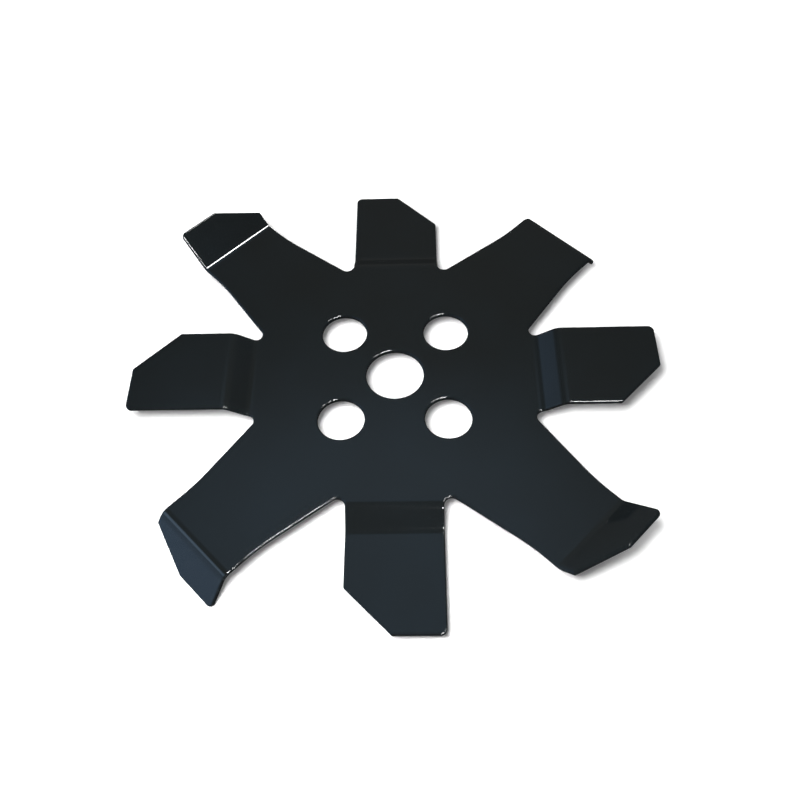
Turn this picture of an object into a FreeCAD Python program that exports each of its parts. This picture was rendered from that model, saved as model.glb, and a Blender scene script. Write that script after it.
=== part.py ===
import FreeCAD, Part

import math
import os

# Brushcutter blade: one piece of pressed sheet steel with eight arms round a hub.
# Joggled arms and flap arms take turns. Every second arm of each kind is pressed
# up, and the ones between are pressed down. The origin is the centre of the bore
# on the underside of the hub, +Z is up, and the first joggled arm points along +X.
# Lengths are in millimetres and angles in degrees.

# Sheet and hub
sheet_thickness = 2.0
bore_diameter = 25.4
hub_hole_diameter = 20.2
hub_hole_circle_diameter = 65.0
arms_of_each_kind = 4

# Joggled arms: a ramp between two bends lifts or lowers a flat pad
pad_width = 40.0
pad_tip_reach = 115.0
pad_cut_length = 19.0
pad_cut_width = 19.0
joggle_height = 5.8
joggle_angle = 33.0
joggle_setback = 0.2
joggle_inner_radius = 6.0

# Flap arms: all four are the same in the flat. The sides flare towards the hub, and
# the end is folded to a flap. The setbacks and the tip run start at the flare's blend.
flap_width = 40.0
flare_angle = 9.0
flare_reach = 96.0
flare_blend_radius = 100.0
flap_tip_run = 25.7
flap_cut_length = 12.0
flap_cut_width = 20.0
flap_up_angle = 41.0
flap_up_setback = 3.7
flap_down_angle = 55.0
flap_down_setback = 5.7
flap_inner_radius = 4.0

# Rounds, and the broken rim of the upper side: the lower rim is square, as punched
notch_radius = 3.2
full_corner_radius = 2.6
cut_corner_radius = 0.9
rim_chamfer = 0.4

UP = FreeCAD.Vector(0, 0, 1)
ORIGIN = FreeCAD.Vector(0, 0, 0)
arm_pitch = 360.0 / arms_of_each_kind
half_pad = pad_width / 2
half_flap = flap_width / 2


def turned(x, y, angle):
    """Point (x, y) turned about the origin."""
    cosine = math.cos(math.radians(angle))
    sine = math.sin(math.radians(angle))
    return FreeCAD.Vector(cosine * x - sine * y, sine * x + cosine * y, 0)


def rounded_face(corners):
    """Face with straight sides, from (point, radius) corners in order."""
    starts = []
    arcs = []
    ends = []
    for index, (point, radius) in enumerate(corners):
        before = (corners[index - 1][0] - point).normalize()
        after = (corners[(index + 1) % len(corners)][0] - point).normalize()
        half_angle = before.getAngle(after) / 2
        setback = radius / math.tan(half_angle)
        start = point + before * setback
        end = point + after * setback
        to_centre = (before + after).normalize()
        middle = point + to_centre * (radius / math.sin(half_angle) - radius)
        starts.append(start)
        ends.append(end)
        if radius > 0:
            arcs.append(Part.Arc(start, middle, end).toShape())
    sides = []
    for index, end in enumerate(ends):
        sides.append(Part.makeLine(end, starts[(index + 1) % len(starts)]))
    return Part.Face(Part.Wire(Part.__sortEdges__(sides + arcs)))


def notch_corner():
    """Point where a joggled arm's side meets the flare of the flap arm beside it."""
    direction = arm_pitch / 2 + flare_angle
    flare_start = turned(flare_reach, -half_flap, arm_pitch / 2)
    run = (flare_start.y - half_pad) / math.sin(math.radians(direction))
    return flare_start - turned(run, 0, direction)


def joggle_start():
    """Distance from the axis where the joggle begins, just past the notch's round."""
    opening = math.radians(arm_pitch / 2 + flare_angle)
    centre_x = notch_corner().x + notch_radius / math.tan(opening / 2)
    return centre_x - notch_radius * math.sin(opening) + joggle_setback


def blend_end():
    """Distance from the axis where a flap arm's sides become parallel."""
    return flare_reach + flare_blend_radius * math.tan(math.radians(flare_angle / 2))


def blank_outline():
    """Plan view of the blade's sides, with the flap arms running on past their ends."""
    run_out = blend_end() + flap_tip_run
    corner = notch_corner()
    mirrored = turned(corner.x, -corner.y, arm_pitch)
    corners = []
    for arm in range(arms_of_each_kind):
        turn = arm * arm_pitch
        flap_turn = turn + arm_pitch / 2
        corners += [
            (turned(pad_tip_reach - pad_cut_length, -half_pad, turn), cut_corner_radius),
            (turned(pad_tip_reach, pad_cut_width - half_pad, turn), cut_corner_radius),
            (turned(pad_tip_reach, half_pad, turn), full_corner_radius),
            (turned(corner.x, corner.y, turn), notch_radius),
            (turned(flare_reach, -half_flap, flap_turn), flare_blend_radius),
            (turned(run_out, -half_flap, flap_turn), 0),
            (turned(run_out, half_flap, flap_turn), 0),
            (turned(flare_reach, half_flap, flap_turn), flare_blend_radius),
            (turned(mirrored.x, mirrored.y, turn), notch_radius),
        ]
    return rounded_face(corners)


def strip_side_view(steps):
    """Side view of a bent strip and where it ends, from (run, bend angle, inner radius) steps."""
    lower = []
    upper = []
    place = FreeCAD.Vector(0, 0, 0)
    heading = 0.0
    for run, bend, inner_radius in steps:
        along = FreeCAD.Vector(math.cos(heading), 0, math.sin(heading))
        across = FreeCAD.Vector(-math.sin(heading), 0, math.cos(heading))
        reach = place + along * run
        lower.append(Part.makeLine(place, reach))
        upper.append(Part.makeLine(place + across * sheet_thickness, reach + across * sheet_thickness))
        place = reach
        if bend == 0:
            continue
        turn = math.radians(bend)
        lower_radius = inner_radius + (sheet_thickness if turn > 0 else 0)
        side = 1 if turn > 0 else -1
        centre = place + across * lower_radius * side
        spokes = []
        for share in (0, 0.5, 1):
            angle = heading + turn * share
            spokes.append(FreeCAD.Vector(math.sin(angle), 0, -math.cos(angle)) * side)
        upper_radius = lower_radius - sheet_thickness * side
        lower.append(Part.Arc(*[centre + spoke * lower_radius for spoke in spokes]).toShape())
        upper.append(Part.Arc(*[centre + spoke * upper_radius for spoke in spokes]).toShape())
        place = centre + spokes[2] * lower_radius
        heading += turn
    tip = FreeCAD.Vector(-math.sin(heading), 0, math.cos(heading)) * sheet_thickness
    ends = [
        Part.makeLine(ORIGIN, ORIGIN + UP * sheet_thickness),
        Part.makeLine(place, place + tip),
    ]
    side_view = Part.Face(Part.Wire(Part.__sortEdges__(lower + upper + ends)))
    return side_view, place, math.degrees(heading)


def strip(side_view, width):
    """Bent strip of the given width, centred on its arm's axis."""
    solid = side_view.extrude(FreeCAD.Vector(0, width, 0))
    solid.translate(FreeCAD.Vector(0, -width / 2, 0))
    return solid


def joggled_arm(direction):
    """Strip with a joggle up (1) or down (-1), over-wide and over-long until it is trimmed."""
    angle = math.radians(joggle_angle)
    bend_rise = 2 * (joggle_inner_radius + sheet_thickness / 2) * (1 - math.cos(angle))
    ramp = (joggle_height - bend_rise) / math.sin(angle)
    bend = joggle_angle * direction
    side_view = strip_side_view([
        (joggle_start(), bend, joggle_inner_radius),
        (ramp, -bend, joggle_inner_radius),
        (pad_tip_reach, 0, 0),
    ])[0]
    return strip(side_view, pad_width + 2 * notch_radius)


def flap_arm(angle, setback):
    """Strip that ends in one bend, and the flap beyond it with its cut corner."""
    bend_start = blend_end() + setback
    side_view, place, heading = strip_side_view([(bend_start, angle, flap_inner_radius)])
    corner = notch_corner()
    root_half_width = -turned(corner.x, corner.y, -arm_pitch / 2).y
    arm = strip(side_view, 2 * root_half_width)
    bend_length = math.radians(abs(angle)) * (flap_inner_radius + sheet_thickness / 2)
    reach = flap_tip_run - setback - bend_length
    flap = rounded_face([
        (FreeCAD.Vector(0, -half_flap, 0), 0),
        (FreeCAD.Vector(reach - flap_cut_length, -half_flap, 0), cut_corner_radius),
        (FreeCAD.Vector(reach, flap_cut_width - half_flap, 0), cut_corner_radius),
        (FreeCAD.Vector(reach, half_flap, 0), full_corner_radius),
        (FreeCAD.Vector(0, half_flap, 0), 0),
    ]).extrude(UP * sheet_thickness)
    flap.rotate(ORIGIN, FreeCAD.Vector(0, 1, 0), -heading)
    flap.translate(place)
    return arm.fuse(flap)


def formed_sheet():
    """Flat hub and all bent arms, before their sides are trimmed."""
    hub_corner_reach = joggle_start() / math.cos(math.radians(arm_pitch / 2))
    hub_corners = []
    for arm in range(arms_of_each_kind):
        hub_corners.append((turned(hub_corner_reach, 0, (arm + 0.5) * arm_pitch), 0))
    hub = rounded_face(hub_corners).extrude(UP * sheet_thickness)
    arms = []
    for arm in range(arms_of_each_kind):
        raised = arm % 2 == 0
        joggled = joggled_arm(1 if raised else -1)
        joggled.rotate(ORIGIN, UP, arm * arm_pitch)
        if raised:
            flap = flap_arm(-flap_down_angle, flap_down_setback)
        else:
            flap = flap_arm(flap_up_angle, flap_up_setback)
        flap.rotate(ORIGIN, UP, (arm + 0.5) * arm_pitch)
        arms += [joggled, flap]
    return hub.multiFuse(arms)


def hub_holes():
    """The bore and the ring of round holes that lie between the joggled arms."""
    depth = 3 * sheet_thickness
    below = FreeCAD.Vector(0, 0, -sheet_thickness)
    cutters = [Part.makeCylinder(bore_diameter / 2, depth, below)]
    for arm in range(arms_of_each_kind):
        centre = turned(hub_hole_circle_diameter / 2, 0, (arm + 0.5) * arm_pitch)
        cutters.append(Part.makeCylinder(hub_hole_diameter / 2, depth, centre + below))
    return cutters


def is_upper_rim(edge, solid):
    """True where the upper side of the sheet meets its cut edge at a right angle."""
    faces = solid.ancestorsOfType(edge, Part.Face)
    if len(faces) != 2:
        return False
    middle = edge.valueAt((edge.FirstParameter + edge.LastParameter) / 2)
    normals = []
    for face in faces:
        u, v = face.Surface.parameter(middle)
        normals.append(face.normalAt(u, v))
    is_sharp = math.degrees(normals[0].getAngle(normals[1])) > 60
    return is_sharp and max(normal.z for normal in normals) > 0.1


def blade():
    """The finished blade."""
    reach = blend_end() + flap_tip_run
    trim = blank_outline().extrude(UP * 2 * reach)
    trim.translate(UP * -reach)
    sheet = formed_sheet().common(trim)
    sheet = sheet.cut(hub_holes()).removeSplitter()
    solid = sheet.Solids[0]
    rims = [edge for edge in solid.Edges if is_upper_rim(edge, solid)]
    return solid.makeChamfer(rim_chamfer, rims)


os.makedirs("parts", exist_ok=True)
shape = blade()
shape.exportStep("parts/blade.step")
print("solids", len(shape.Solids), "valid", shape.isValid(), "volume", round(shape.Volume, 1))
print("box", shape.BoundBox)
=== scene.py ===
"""Studio picture of a pressed-steel brushcutter blade in gloss black enamel.

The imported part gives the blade's shape. This script rounds the enamelled rims,
dresses the sheet, and sets up the floor, the lamps and the camera.
"""

import logging
import math
from dataclasses import dataclass, field
from enum import Enum

import bmesh
import bpy
from mathutils import Matrix, Vector

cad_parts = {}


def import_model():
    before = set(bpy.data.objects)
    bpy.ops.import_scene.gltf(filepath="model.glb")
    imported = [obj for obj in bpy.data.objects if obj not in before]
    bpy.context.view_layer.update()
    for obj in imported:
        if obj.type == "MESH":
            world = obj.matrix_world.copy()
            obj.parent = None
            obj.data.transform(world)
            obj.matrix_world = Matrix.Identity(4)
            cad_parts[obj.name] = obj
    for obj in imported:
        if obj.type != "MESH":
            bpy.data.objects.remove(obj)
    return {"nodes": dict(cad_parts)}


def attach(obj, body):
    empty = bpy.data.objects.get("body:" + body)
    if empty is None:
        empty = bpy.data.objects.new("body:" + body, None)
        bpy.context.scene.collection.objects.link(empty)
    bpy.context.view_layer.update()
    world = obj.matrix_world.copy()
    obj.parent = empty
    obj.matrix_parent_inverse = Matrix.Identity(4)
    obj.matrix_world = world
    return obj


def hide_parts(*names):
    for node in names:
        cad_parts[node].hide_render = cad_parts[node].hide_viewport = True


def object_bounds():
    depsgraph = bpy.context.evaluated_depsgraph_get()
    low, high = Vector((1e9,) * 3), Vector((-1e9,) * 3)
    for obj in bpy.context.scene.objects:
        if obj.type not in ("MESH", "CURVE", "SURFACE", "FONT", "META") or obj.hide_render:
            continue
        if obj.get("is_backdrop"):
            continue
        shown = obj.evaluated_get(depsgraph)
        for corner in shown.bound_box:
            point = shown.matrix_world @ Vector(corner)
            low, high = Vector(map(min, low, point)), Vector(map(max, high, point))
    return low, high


MM = 0.001
log = logging.getLogger("blade")


class Ray(Enum):
    """Kinds of ray that a Light Path node can tell apart."""

    CAMERA = "Is Camera Ray"
    MIRRORED = "Is Glossy Ray"
    SEEN_THROUGH = "Is Transmission Ray"


class Mirrored(Enum):
    """Whether a lamp is seen only as a reflection, or gives light and is never mirrored."""

    ONLY = "reflection only"
    NEVER = "light only"


def linear(hex_colour: str) -> tuple[float, float, float, float]:
    """Turn an sRGB hex colour into linear RGBA.

    Args:
        hex_colour: Six hex digits, with or without a leading hash.

    Returns:
        Linear red, green and blue, and an alpha of one.
    """
    digits = hex_colour.lstrip("#")
    channels = []
    for start in (0, 2, 4):
        value = int(digits[start:start + 2], 16) / 255
        channels.append(value / 12.92 if value <= 0.04045 else ((value + 0.055) / 1.055) ** 2.4)
    return (channels[0], channels[1], channels[2], 1.0)


def per_metre(millimetres: float) -> float:
    """Return the texture scale at which one feature is about this long."""
    return 1 / (millimetres * MM)


def add_node(tree: bpy.types.NodeTree, kind: str, settings: dict | None = None,
             links: dict | None = None) -> bpy.types.Node:
    """Add one node with its settings and its incoming links.

    Args:
        tree: Node tree that gets the node.
        kind: Node type name, such as "ShaderNodeMix".
        settings: Values by input name or number, or by property name.
        links: Output sockets by the input name or number that each one feeds.

    Returns:
        The new node.
    """
    node = tree.nodes.new(kind)
    for name, value in (settings or {}).items():
        if isinstance(name, str) and hasattr(node, name):
            setattr(node, name, value)
    for name, value in (settings or {}).items():
        if not (isinstance(name, str) and hasattr(node, name)):
            node.inputs[name].default_value = value
    for name, socket in (links or {}).items():
        tree.links.new(socket, node.inputs[name])
    return node


def new_material(name: str) -> bpy.types.Material:
    """Return a material with an empty node tree."""
    material = bpy.data.materials.new(name)
    material.use_nodes = True
    material.node_tree.nodes.clear()
    return material


@dataclass(frozen=True)
class GlossBlackEnamel:
    """Black stoving enamel, dipped and baked on pressed steel.

    The film is smooth and glossy, so the sheet mirrors its surroundings softly. It is
    a cold black with slow drifts towards blue, it has a faint orange peel, and it
    thins and dulls a little where it has run off the rims. The dust that varies the
    gloss is drawn coarser than real dust, so that it doesn't turn to noise. Sizes and
    depths are in millimetres.
    """

    black: str = "#121516"
    blue_black: str = "#131719"
    rim_black: str = "#1a1919"
    roughness: float = 0.06
    roughness_spread: float = 0.012
    rim_roughness: float = 0.24
    ior: float = 1.5
    cloud_size: float = 38.0
    cloud_detail: float = 3.0
    cloud_roughness: float = 0.45
    cloud_span: tuple[float, float] = (0.35, 0.68)
    peel_size: float = 2.6
    peel_depth: float = 0.0003
    peel_roughness: float = 0.4
    dust_size: float = 5.0
    dust_span: tuple[float, float] = (0.3, 0.75)
    rim_reach: float = 0.5
    rim_span: tuple[float, float] = (0.99, 0.86)
    rim_cover: float = 0.8

    def material(self) -> bpy.types.Material:
        """Build the enamel as a node material on Object coordinates.

        Returns:
            The finished material.
        """
        material = new_material("gloss_black_stoving_enamel")
        tree = material.node_tree
        place = add_node(tree, "ShaderNodeTexCoord").outputs["Object"]
        clouds = add_node(
            tree, "ShaderNodeTexNoise",
            {"Scale": per_metre(self.cloud_size), "Detail": self.cloud_detail,
             "Roughness": self.cloud_roughness},
            {"Vector": place})
        body = add_node(
            tree, "ShaderNodeValToRGB", {}, {"Fac": clouds.outputs["Fac"]})
        body.color_ramp.elements[0].position = self.cloud_span[0]
        body.color_ramp.elements[0].color = linear(self.black)
        body.color_ramp.elements[1].position = self.cloud_span[1]
        body.color_ramp.elements[1].color = linear(self.blue_black)
        rim = self.rim_mask(tree)
        colour = add_node(
            tree, "ShaderNodeMix", {"data_type": "RGBA", 7: linear(self.rim_black)},
            {0: rim, 6: body.outputs["Color"]})
        dust = add_node(
            tree, "ShaderNodeTexNoise",
            {"Scale": per_metre(self.dust_size), "Detail": 2.0},
            {"Vector": place})
        film = add_node(
            tree, "ShaderNodeMapRange",
            {"From Min": self.dust_span[0], "From Max": self.dust_span[1],
             "To Min": self.roughness, "To Max": self.roughness + self.roughness_spread},
            {"Value": dust.outputs["Fac"]})
        gloss = add_node(
            tree, "ShaderNodeMix", {"data_type": "FLOAT", 3: self.rim_roughness},
            {0: rim, 2: film.outputs["Result"]})
        peel = add_node(
            tree, "ShaderNodeTexNoise",
            {"Scale": per_metre(self.peel_size), "Detail": 1.0, "Roughness": self.peel_roughness},
            {"Vector": place})
        bump = add_node(
            tree, "ShaderNodeBump", {"Strength": 1.0, "Distance": self.peel_depth * MM},
            {"Height": peel.outputs["Fac"]})
        shader = add_node(
            tree, "ShaderNodeBsdfPrincipled", {"IOR": self.ior},
            {"Base Color": colour.outputs[2], "Roughness": gloss.outputs[0],
             "Normal": bump.outputs["Normal"]})
        add_node(tree, "ShaderNodeOutputMaterial", {}, {"Surface": shader.outputs["BSDF"]})
        return material

    def rim_mask(self, tree: bpy.types.NodeTree) -> bpy.types.NodeSocket:
        """Mark the band along each rim, where a rounded normal leaves the real one.

        Args:
            tree: Node tree that gets the mask's nodes.

        Returns:
            A factor that is near one on the rims and zero on the flats.
        """
        rounded = add_node(tree, "ShaderNodeBevel", {"samples": 4, "Radius": self.rim_reach * MM})
        true_normal = add_node(tree, "ShaderNodeNewGeometry").outputs["Normal"]
        agreement = add_node(
            tree, "ShaderNodeVectorMath", {"operation": "DOT_PRODUCT"},
            {0: rounded.outputs["Normal"], 1: true_normal})
        mask = add_node(
            tree, "ShaderNodeMapRange",
            {"From Min": self.rim_span[0], "From Max": self.rim_span[1],
             "To Min": 0.0, "To Max": self.rim_cover},
            {"Value": agreement.outputs["Value"]})
        return mask.outputs["Result"]


@dataclass(frozen=True)
class WhitePaperSweep:
    """Matt white studio paper: pure white where it is lit, with the blade's soft shadow. Its
    view-only glow is painted light: weak near the blade, where it lifts the shadow, and full white
    farther out.
    """

    paper: str = "#f2f2f2"
    glow: float = 0.13
    glow_reach: tuple[float, float] = (116.0, 150.0)
    fibre_size: float = 3.0
    fibre_depth: float = 0.02
    fibre_strength: float = 0.1

    def material(self) -> bpy.types.Material:
        """Build the paper: a matt sheet with a glow that only the view sees.

        Returns:
            The finished material.
        """
        material = new_material("matt_white_studio_paper")
        tree = material.node_tree
        place = add_node(tree, "ShaderNodeTexCoord").outputs["Object"]
        fibres = add_node(
            tree, "ShaderNodeTexNoise", {"Scale": per_metre(self.fibre_size), "Detail": 2.0},
            {"Vector": place})
        bump = add_node(
            tree, "ShaderNodeBump",
            {"Strength": self.fibre_strength, "Distance": self.fibre_depth * MM},
            {"Height": fibres.outputs["Fac"]})
        matt = add_node(
            tree, "ShaderNodeBsdfDiffuse", {"Color": linear(self.paper)},
            {"Normal": bump.outputs["Normal"]})
        distance = add_node(
            tree, "ShaderNodeVectorMath", {"operation": "LENGTH"}, {0: place})
        # Painted light: the glow stays weak inside the near reach, lifting the blade's shadow, and
        # rises to full white past the far reach.
        near, far = self.glow_reach
        level = add_node(
            tree, "ShaderNodeMapRange",
            {"interpolation_type": "SMOOTHSTEP", "From Min": near * MM, "From Max": far * MM,
             "To Min": self.glow},
            {"Value": distance.outputs["Value"]})
        strength = add_node(
            tree, "ShaderNodeMath", {"operation": "MULTIPLY"},
            {0: seen(tree), 1: level.outputs["Result"]})
        glow = add_node(
            tree, "ShaderNodeEmission", {"Color": (1, 1, 1, 1)},
            {"Strength": strength.outputs["Value"]})
        both = add_node(
            tree, "ShaderNodeAddShader", {},
            {0: matt.outputs["BSDF"], 1: glow.outputs["Emission"]})
        add_node(tree, "ShaderNodeOutputMaterial", {}, {"Surface": both.outputs["Shader"]})
        return material


@dataclass(frozen=True)
class SoftPatch:
    """A lighter patch of the tent, given in directions seen from the blade."""

    centre: tuple[float, float, float]
    reach: tuple[float, float, float]
    colour: str
    level: float
    edge: float = 0.65

    def glow(self, tree: bpy.types.NodeTree, direction: bpy.types.NodeSocket) -> bpy.types.NodeSocket:
        """Build the patch's light.

        Args:
            tree: Node tree that gets the nodes.
            direction: Unit direction from the blade to the cloth.

        Returns:
            The patch's colour, which fades to black past its reach.
        """
        from_centre = add_node(
            tree, "ShaderNodeVectorMath", {"operation": "SUBTRACT", 1: self.centre},
            {0: direction})
        stretched = add_node(
            tree, "ShaderNodeVectorMath", {"operation": "DIVIDE", 1: self.reach},
            {0: from_centre.outputs["Vector"]})
        fade = add_node(
            tree, "ShaderNodeTexGradient", {"gradient_type": "SPHERICAL"},
            {"Vector": stretched.outputs["Vector"]})
        level = add_node(
            tree, "ShaderNodeMapRange",
            {"interpolation_type": "SMOOTHSTEP", "From Max": self.edge, "To Max": self.level},
            {"Value": fade.outputs["Fac"]})
        return add_node(
            tree, "ShaderNodeVectorMath", {"operation": "SCALE", 0: linear(self.colour)[:3]},
            {"Scale": level.outputs["Result"]}).outputs["Vector"]


@dataclass(frozen=True)
class DarkTent:
    """Dark studio cloth that the enamel mirrors, with paler patches of ceiling and window."""

    cloth: str = "#343535"
    patches: tuple[SoftPatch, ...] = (
        SoftPatch((-0.05, 0.88, 0.45), (0.90, 0.36, 0.90), "#eceee8", 0.13),
        SoftPatch((0.30, 0.56, 0.95), (0.80, 0.32, 0.70), "#f0ead0", 0.07),
        SoftPatch((-0.06, 0.38, 0.90), (0.38, 0.25, 0.60), "#aed7ff", 0.37),
        SoftPatch((-0.93, 0.05, 0.08), (0.70, 2.00, 0.85), "#a8d1ff", 0.74),
        SoftPatch((-0.76, -0.08, 0.64), (0.22, 0.22, 0.22), "#b8dcff", 1.6),
    )

    def material(self) -> bpy.types.Material:
        """Build the cloth as a dim glow with its patches.

        Returns:
            The finished material.
        """
        material = new_material("dark_studio_cloth")
        tree = material.node_tree
        place = add_node(tree, "ShaderNodeTexCoord").outputs["Object"]
        direction = add_node(
            tree, "ShaderNodeVectorMath", {"operation": "NORMALIZE"},
            {0: place}).outputs["Vector"]
        total = add_node(tree, "ShaderNodeRGB").outputs["Color"]
        total.default_value = linear(self.cloth)
        for patch in self.patches:
            total = add_node(
                tree, "ShaderNodeVectorMath", {"operation": "ADD"},
                {0: total, 1: patch.glow(tree, direction)}).outputs["Vector"]
        glow = add_node(tree, "ShaderNodeEmission", {"Strength": 1.0}, {"Color": total})
        add_node(tree, "ShaderNodeOutputMaterial", {}, {"Surface": glow.outputs["Emission"]})
        return material


def seen(tree: bpy.types.NodeTree) -> bpy.types.NodeSocket:
    """Tell the rays that show the background from all others.

    Args:
        tree: Node tree that gets the nodes.

    Returns:
        A socket that is one for camera, mirrored and seen-through rays, and else zero.
    """
    path = add_node(tree, "ShaderNodeLightPath")
    total = path.outputs[Ray.CAMERA.value]
    for ray in (Ray.MIRRORED, Ray.SEEN_THROUGH):
        total = add_node(
            tree, "ShaderNodeMath", {"operation": "MAXIMUM"},
            {0: total, 1: path.outputs[ray.value]}).outputs["Value"]
    return total


@dataclass
class Blade:
    """The pressed sheet with its enamelled rims."""

    finish: GlossBlackEnamel = field(default_factory=GlossBlackEnamel)
    merge_distance: float = 0.0001
    flat_angle: float = 0.4
    rim_angle: float = 30.0
    rim_radius: float = 0.24
    rim_segments: int = 3
    rim_profile: float = 0.5
    flat_weight: int = 100

    def build(self, node: bpy.types.Object) -> bpy.types.Object:
        """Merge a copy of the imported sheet, join its flats and round its rims.

        Args:
            node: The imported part's object.

        Returns:
            The finished blade.
        """
        shape = bmesh.new()
        shape.from_mesh(node.data)
        bmesh.ops.remove_doubles(shape, verts=shape.verts, dist=self.merge_distance * MM)
        bmesh.ops.dissolve_limit(
            shape, angle_limit=math.radians(self.flat_angle), use_dissolve_boundaries=False,
            verts=shape.verts, edges=shape.edges, delimit={"NORMAL"})
        rims = [edge for edge in shape.edges if self.is_rim(edge)]
        bmesh.ops.bevel(
            shape, geom=rims, offset=self.rim_radius * MM, offset_type="OFFSET",
            segments=self.rim_segments, profile=self.rim_profile, affect="EDGES", material=-1,
            clamp_overlap=True)
        for face in shape.faces:
            face.smooth = True
        mesh = bpy.data.meshes.new("enamelled_blade")
        shape.to_mesh(mesh)
        shape.free()
        piece = bpy.data.objects.new("enamelled_blade", mesh)
        bpy.context.collection.objects.link(piece)
        self.dress(piece)
        return piece

    def is_rim(self, edge: bmesh.types.BMEdge) -> bool:
        """Return whether the two faces of an edge meet at a rim's angle."""
        return edge.is_manifold and edge.calc_face_angle() > math.radians(self.rim_angle)

    def dress(self, piece: bpy.types.Object) -> None:
        """Give the blade its enamel and keep its flats flat under smooth shading.

        Args:
            piece: The blade's object.
        """
        even = piece.modifiers.new("even_shading", "WEIGHTED_NORMAL")
        even.mode = "FACE_AREA"
        even.weight = self.flat_weight
        piece.data.materials.clear()
        piece.data.materials.append(self.finish.material())
        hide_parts("blade")
        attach(piece, "root")


@dataclass
class Lamp:
    """A round or oval lamp that faces the middle of the blade."""

    name: str
    direction: tuple[float, float, float]
    distance: float
    radius: float
    radiance: float
    stretch: float = 1.0
    along: tuple[float, float, float] = (1.0, 0.0, 0.0)
    mirrored: Mirrored = Mirrored.ONLY

    def build(self) -> bpy.types.Object:
        """Place the lamp and say which rays see it.

        Returns:
            The lamp's object.
        """
        data = bpy.data.lights.new(self.name, "AREA")
        data.shape = "ELLIPSE"
        data.size = 2 * self.radius * self.stretch * MM
        data.size_y = 2 * self.radius * MM
        area = math.pi * (self.radius * MM) ** 2 * self.stretch
        data.energy = self.radiance * math.pi * area
        lamp = bpy.data.objects.new(self.name, data)
        towards = Vector(self.direction).normalized()
        across = towards.cross(Vector(self.along)).normalized()
        turn = Matrix((across.cross(towards), across, towards)).transposed().to_4x4()
        lamp.matrix_world = Matrix.Translation(towards * self.distance * MM) @ turn
        lamp.visible_camera = False
        lamp.visible_transmission = False
        lamp.visible_diffuse = self.mirrored is not Mirrored.ONLY
        lamp.visible_glossy = self.mirrored is not Mirrored.NEVER
        bpy.context.collection.objects.link(lamp)
        return lamp


@dataclass
class Camera:
    """The photograph's viewpoint, in the blade's own frame."""

    place: tuple[float, float, float] = (11.27, -220.03, 318.08)
    turn: float = 2.506
    tip: float = 33.148
    roll: float = -2.981
    lens: float = 39.335
    sensor: float = 36.0
    nearest: float = 10.0

    def matrix(self) -> Matrix:
        """Return the camera's place and direction as one matrix."""
        turn = Matrix.Rotation(math.radians(self.turn), 4, "Z")
        tip = Matrix.Rotation(math.radians(self.tip), 4, "X")
        roll = Matrix.Rotation(math.radians(self.roll), 4, "Z")
        return Matrix.Translation(Vector(self.place) * MM) @ turn @ tip @ roll

    def build(self) -> bpy.types.Object:
        """Make the camera and hand it to the scene.

        Returns:
            The camera's object.
        """
        data = bpy.data.cameras.new("camera")
        data.lens = self.lens
        data.sensor_width = self.sensor
        data.clip_start = self.nearest * MM
        camera = bpy.data.objects.new("camera", data)
        camera.matrix_world = self.matrix()
        bpy.context.collection.objects.link(camera)
        bpy.context.scene.camera = camera
        return camera


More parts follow.
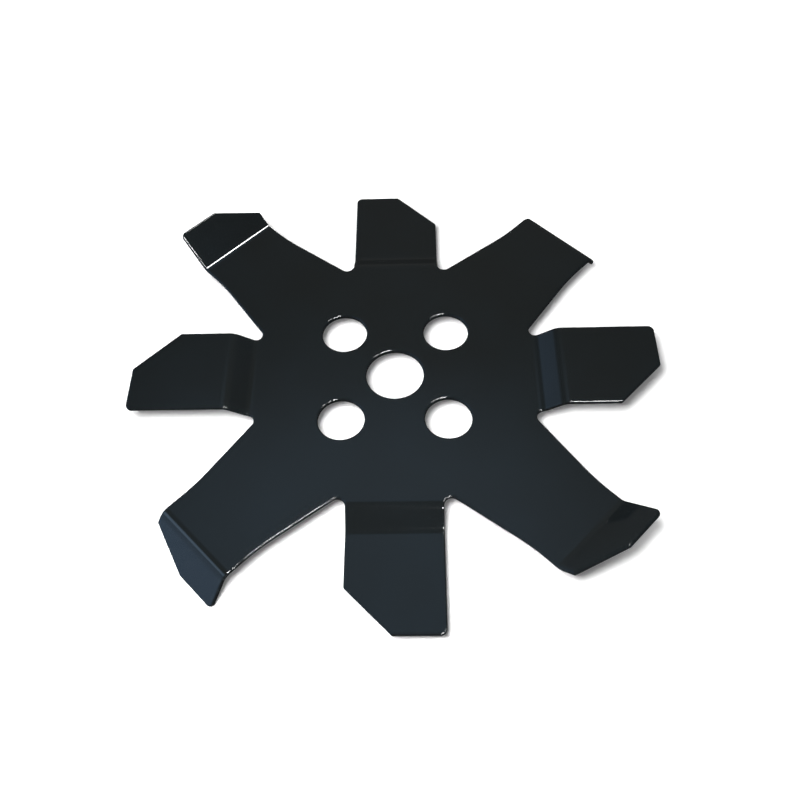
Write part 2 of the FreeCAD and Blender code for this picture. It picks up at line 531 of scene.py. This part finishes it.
@dataclass
class Studio:
    """White floor, dark tent for the reflections, and the lamps.

    The mirrored lamps draw the light lines along the folds and rims. They stand where
    the blade's flats don't mirror them into the camera.
    """

    floor_level: float
    floor_reach: float = 3000.0
    tent_radius: float = 6000.0
    tent_subdivisions: int = 4
    ambient: float = 0.1
    key_offset: tuple[float, float] = (-54.0, 48.0)
    key_radius: float = 52.0
    key_level: float = 2.0
    mirrored_lamps: tuple[Lamp, ...] = (
        Lamp("ceiling_lamp", (0.325, 0.141, 0.935), 5000.0, 350.0, 60.0, stretch=1.6,
             along=(1.0, -1.0, 0.0)),
        Lamp("tube_lamp", (0.32, -0.45, 0.83), 5000.0, 260.0, 300.0, stretch=4.5),
    )
    paper: WhitePaperSweep = field(default_factory=WhitePaperSweep)
    cloth: DarkTent = field(default_factory=DarkTent)

    def build(self, camera: Camera) -> None:
        """Build the floor, the tent, the lamps and the surrounding light.

        Args:
            camera: Viewpoint that the key lamp stands beside.
        """
        self.build_floor()
        self.build_tent()
        self.build_key(camera)
        for lamp in self.mirrored_lamps:
            lamp.build()
        self.build_world()

    def build_floor(self) -> None:
        """Lay the sheet of paper under the blade."""
        shape = bmesh.new()
        bmesh.ops.create_grid(shape, x_segments=1, y_segments=1, size=self.floor_reach * MM)
        bmesh.ops.translate(shape, verts=shape.verts, vec=(0, 0, self.floor_level * MM))
        floor = self.finish_stage(shape, "floor")
        floor.data.materials.append(self.paper.material())
        floor.visible_glossy = False

    def build_tent(self) -> None:
        """Hang the dark cloth, which only mirrored rays see."""
        shape = bmesh.new()
        bmesh.ops.create_icosphere(
            shape, subdivisions=self.tent_subdivisions, radius=self.tent_radius * MM)
        bmesh.ops.reverse_faces(shape, faces=shape.faces)
        tent = self.finish_stage(shape, "tent")
        tent.data.materials.append(self.cloth.material())
        tent.visible_camera = False
        tent.visible_diffuse = False
        tent.visible_transmission = False
        tent.visible_shadow = False

    def finish_stage(self, shape: bmesh.types.BMesh, name: str) -> bpy.types.Object:
        """Turn a mesh into a stage object.

        Args:
            shape: Mesh in metres, in the blade's frame.
            name: Name of the object.

        Returns:
            The stage object.
        """
        mesh = bpy.data.meshes.new(name)
        shape.to_mesh(mesh)
        shape.free()
        thing = bpy.data.objects.new(name, mesh)
        bpy.context.collection.objects.link(thing)
        thing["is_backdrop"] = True
        return thing

    def build_key(self, camera: Camera) -> None:
        """Stand the key lamp beside the lens, so each edge drops a narrow soft shadow.

        Args:
            camera: Viewpoint that the lamp stands beside.
        """
        view = camera.matrix()
        across, above = self.key_offset
        place = view @ Vector((across * MM, above * MM, 0))
        distance = place.length / MM
        radiance = self.key_level * (distance / self.key_radius) ** 2
        Lamp("key_lamp", tuple(place), distance, self.key_radius, radiance,
             mirrored=Mirrored.NEVER).build()

    def build_world(self) -> None:
        """Light everything softly, and show white behind it."""
        world = bpy.data.worlds.new("studio")
        world.use_nodes = True
        tree = world.node_tree
        tree.nodes.clear()
        soft = add_node(tree, "ShaderNodeBackground", {"Strength": self.ambient})
        soft.inputs["Color"].default_value = (1, 1, 1, 1)
        white = add_node(tree, "ShaderNodeBackground", {"Color": (1, 1, 1, 1), "Strength": 1.0})
        mixed = add_node(
            tree, "ShaderNodeMixShader", {},
            {0: seen(tree), 1: soft.outputs["Background"],
             2: white.outputs["Background"]})
        add_node(tree, "ShaderNodeOutputWorld", {}, {"Surface": mixed.outputs["Shader"]})
        bpy.context.scene.world = world


def main() -> None:
    """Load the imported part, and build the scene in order."""
    logging.basicConfig(level=logging.INFO, format="%(name)s: %(message)s")
    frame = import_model()
    packed_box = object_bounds()
    camera = Camera()
    camera.build()
    log.info("camera at %s mm", camera.place)
    piece = Blade().build(frame["nodes"]["blade"])
    log.info("blade with %d faces", len(piece.data.polygons))
    Studio(floor_level=packed_box[0][2] / MM).build(camera)
    log.info("studio with %d lamps", len(bpy.data.lights))
    bpy.context.scene.view_settings.view_transform = "Standard"


if __name__ == "__main__":
    main()
